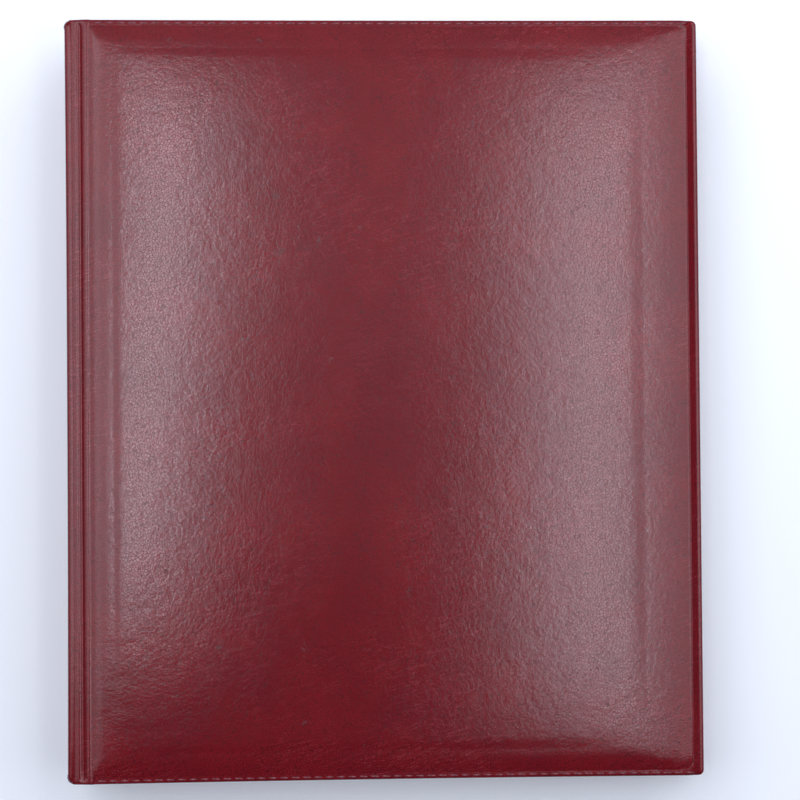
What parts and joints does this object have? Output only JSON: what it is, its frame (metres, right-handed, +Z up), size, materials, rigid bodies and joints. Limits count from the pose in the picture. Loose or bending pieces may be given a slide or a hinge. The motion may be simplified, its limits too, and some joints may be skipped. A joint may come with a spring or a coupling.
{
  "type": "coin album",
  "caption": "Padded leatherette ring album for coin leaves, closed: hinged covers and spine, ring mechanism with toggle blades and end levers, pocket leaves and interleaves.",
  "frame": {"origin": "middle of the footprint, on the surface the album lies on", "axes": "+X from the spine to the fore edge, +Y from tail to head, +Z up from the back cover to the front cover"},
  "size_m": [0.226, 0.27, 0.0447],
  "materials": {
    "leatherette": "satin pebbled oxblood leatherette",
    "foam": "open-cell foam sheet",
    "greyboard": "uncoated greyboard",
    "lining": "matt lining paper",
    "nickel_steel": "nickel-plated spring steel",
    "pocket_film": "clear soft film with welded pockets",
    "interleaf_card": "matt white card"
  },
  "bodies": {
    "back_cover": {"back_skin": "leatherette", "back_pad": "foam", "back_board": "greyboard", "back_liner": "lining"},
    "spine": {"spine_skin": "leatherette", "spine_board": "greyboard", "spine_liner": "lining", "back_crease": "leatherette", "front_crease": "leatherette", "ring_plate": "nickel_steel", "plate_rivets": "nickel_steel"},
    "front_cover": {"front_skin": "leatherette", "front_pad": "foam", "front_board": "greyboard", "front_liner": "lining"},
    "upper_rings": {"upper_blade": "nickel_steel", "upper_ring_1": "nickel_steel", "upper_ring_2": "nickel_steel", "upper_ring_3": "nickel_steel", "upper_ring_4": "nickel_steel"},
    "lower_rings": {"lower_blade": "nickel_steel", "lower_ring_1": "nickel_steel", "lower_ring_2": "nickel_steel", "lower_ring_3": "nickel_steel", "lower_ring_4": "nickel_steel"},
    "head_lever": {"head_lever": "nickel_steel"},
    "tail_lever": {"tail_lever": "nickel_steel"},
    "coin_leaf_1": {"coin_leaf_1": "pocket_film"},
    "coin_leaf_2": {"coin_leaf_2": "pocket_film"},
    "coin_leaf_3": {"coin_leaf_3": "pocket_film"},
    "coin_leaf_4": {"coin_leaf_4": "pocket_film"},
    "coin_leaf_5": {"coin_leaf_5": "pocket_film"},
    "coin_leaf_6": {"coin_leaf_6": "pocket_film"},
    "interleaf_1": {"interleaf_1": "interleaf_card"},
    "interleaf_2": {"interleaf_2": "interleaf_card"},
    "interleaf_3": {"interleaf_3": "interleaf_card"},
    "interleaf_4": {"interleaf_4": "interleaf_card"},
    "interleaf_5": {"interleaf_5": "interleaf_card"},
    "interleaf_6": {"interleaf_6": "interleaf_card"}
  },
  "joints": [
    {"name": "spine_turn", "type": "hinge", "parent": "back_cover", "child": "spine", "pos_m": [-0.108, 0, 0.005], "axis": [0, -1, 0], "range_deg": [0, 90], "deforming": ["back_crease"]},
    {"name": "front_cover_turn", "type": "hinge", "parent": "spine", "child": "front_cover", "pos_m": [-0.108, 0, 0.0414], "axis": [0, -1, 0], "range_deg": [0, 93.34], "deforming": ["front_crease"]},
    {"name": "ring_opening", "type": "hinge", "parent": "spine", "child": "upper_rings", "pos_m": [-0.1072, 0, 0.0319], "axis": [0, -1, 0], "range_deg": [0, 5]},
    {"name": "lower_ring_opening", "type": "hinge", "parent": "spine", "child": "lower_rings", "pos_m": [-0.1072, 0, 0.0137], "axis": [0, -1, 0], "range_deg": [-5, 0]},
    {"name": "head_lever_press", "type": "hinge", "parent": "spine", "child": "head_lever", "pos_m": [-0.1076, 0.097, 0.0228], "axis": [0, 0, 1], "range_deg": [0, 20]},
    {"name": "tail_lever_press", "type": "hinge", "parent": "spine", "child": "tail_lever", "pos_m": [-0.1076, -0.097, 0.0228], "axis": [0, 0, 1], "range_deg": [-20, 0]},
    {"name": "coin_leaf_1_turn", "type": "hinge", "parent": "spine", "child": "coin_leaf_1", "pos_m": [-0.0902, 0, 0.0228], "axis": [0, -1, 0], "range_deg": [0, 93.34]},
    {"name": "coin_leaf_2_turn", "type": "hinge", "parent": "spine", "child": "coin_leaf_2", "pos_m": [-0.0902, 0, 0.0228], "axis": [0, -1, 0], "range_deg": [0, 93.34]},
    {"name": "coin_leaf_3_turn", "type": "hinge", "parent": "spine", "child": "coin_leaf_3", "pos_m": [-0.0902, 0, 0.0228], "axis": [0, -1, 0], "range_deg": [0, 93.34]},
    {"name": "coin_leaf_4_turn", "type": "hinge", "parent": "spine", "child": "coin_leaf_4", "pos_m": [-0.0902, 0, 0.0228], "axis": [0, -1, 0], "range_deg": [-90, 0]},
    {"name": "coin_leaf_5_turn", "type": "hinge", "parent": "spine", "child": "coin_leaf_5", "pos_m": [-0.0902, 0, 0.0228], "axis": [0, -1, 0], "range_deg": [-90, 0]},
    {"name": "coin_leaf_6_turn", "type": "hinge", "parent": "spine", "child": "coin_leaf_6", "pos_m": [-0.0902, 0, 0.0228], "axis": [0, -1, 0], "range_deg": [-90, 0]},
    {"name": "interleaf_1_turn", "type": "hinge", "parent": "spine", "child": "interleaf_1", "pos_m": [-0.0902, 0, 0.0228], "axis": [0, -1, 0], "range_deg": [0, 93.34]},
    {"name": "interleaf_2_turn", "type": "hinge", "parent": "spine", "child": "interleaf_2", "pos_m": [-0.0902, 0, 0.0228], "axis": [0, -1, 0], "range_deg": [0, 93.34]},
    {"name": "interleaf_3_turn", "type": "hinge", "parent": "spine", "child": "interleaf_3", "pos_m": [-0.0902, 0, 0.0228], "axis": [0, -1, 0], "range_deg": [0, 93.34]},
    {"name": "interleaf_4_turn", "type": "hinge", "parent": "spine", "child": "interleaf_4", "pos_m": [-0.0902, 0, 0.0228], "axis": [0, -1, 0], "range_deg": [-90, 0]},
    {"name": "interleaf_5_turn", "type": "hinge", "parent": "spine", "child": "interleaf_5", "pos_m": [-0.0902, 0, 0.0228], "axis": [0, -1, 0], "range_deg": [-90, 0]},
    {"name": "interleaf_6_turn", "type": "hinge", "parent": "spine", "child": "interleaf_6", "pos_m": [-0.0902, 0, 0.0228], "axis": [0, -1, 0], "range_deg": [-90, 0]}
  ],
  "couplings": [
    {"joint": "lower_ring_opening", "follows": "ring_opening", "ratio": -1},
    {"joint": "head_lever_press", "follows": "ring_opening", "ratio": 4},
    {"joint": "tail_lever_press", "follows": "ring_opening", "ratio": -4},
    {"joint": "coin_leaf_1_turn", "follows": "front_cover_turn", "ratio": 1},
    {"joint": "coin_leaf_2_turn", "follows": "front_cover_turn", "ratio": 1},
    {"joint": "coin_leaf_3_turn", "follows": "front_cover_turn", "ratio": 1},
    {"joint": "coin_leaf_4_turn", "follows": "spine_turn", "ratio": -1},
    {"joint": "coin_leaf_5_turn", "follows": "spine_turn", "ratio": -1},
    {"joint": "coin_leaf_6_turn", "follows": "spine_turn", "ratio": -1},
    {"joint": "interleaf_1_turn", "follows": "front_cover_turn", "ratio": 1},
    {"joint": "interleaf_2_turn", "follows": "front_cover_turn", "ratio": 1},
    {"joint": "interleaf_3_turn", "follows": "front_cover_turn", "ratio": 1},
    {"joint": "interleaf_4_turn", "follows": "spine_turn", "ratio": -1},
    {"joint": "interleaf_5_turn", "follows": "spine_turn", "ratio": -1},
    {"joint": "interleaf_6_turn", "follows": "spine_turn", "ratio": -1}
  ]
}
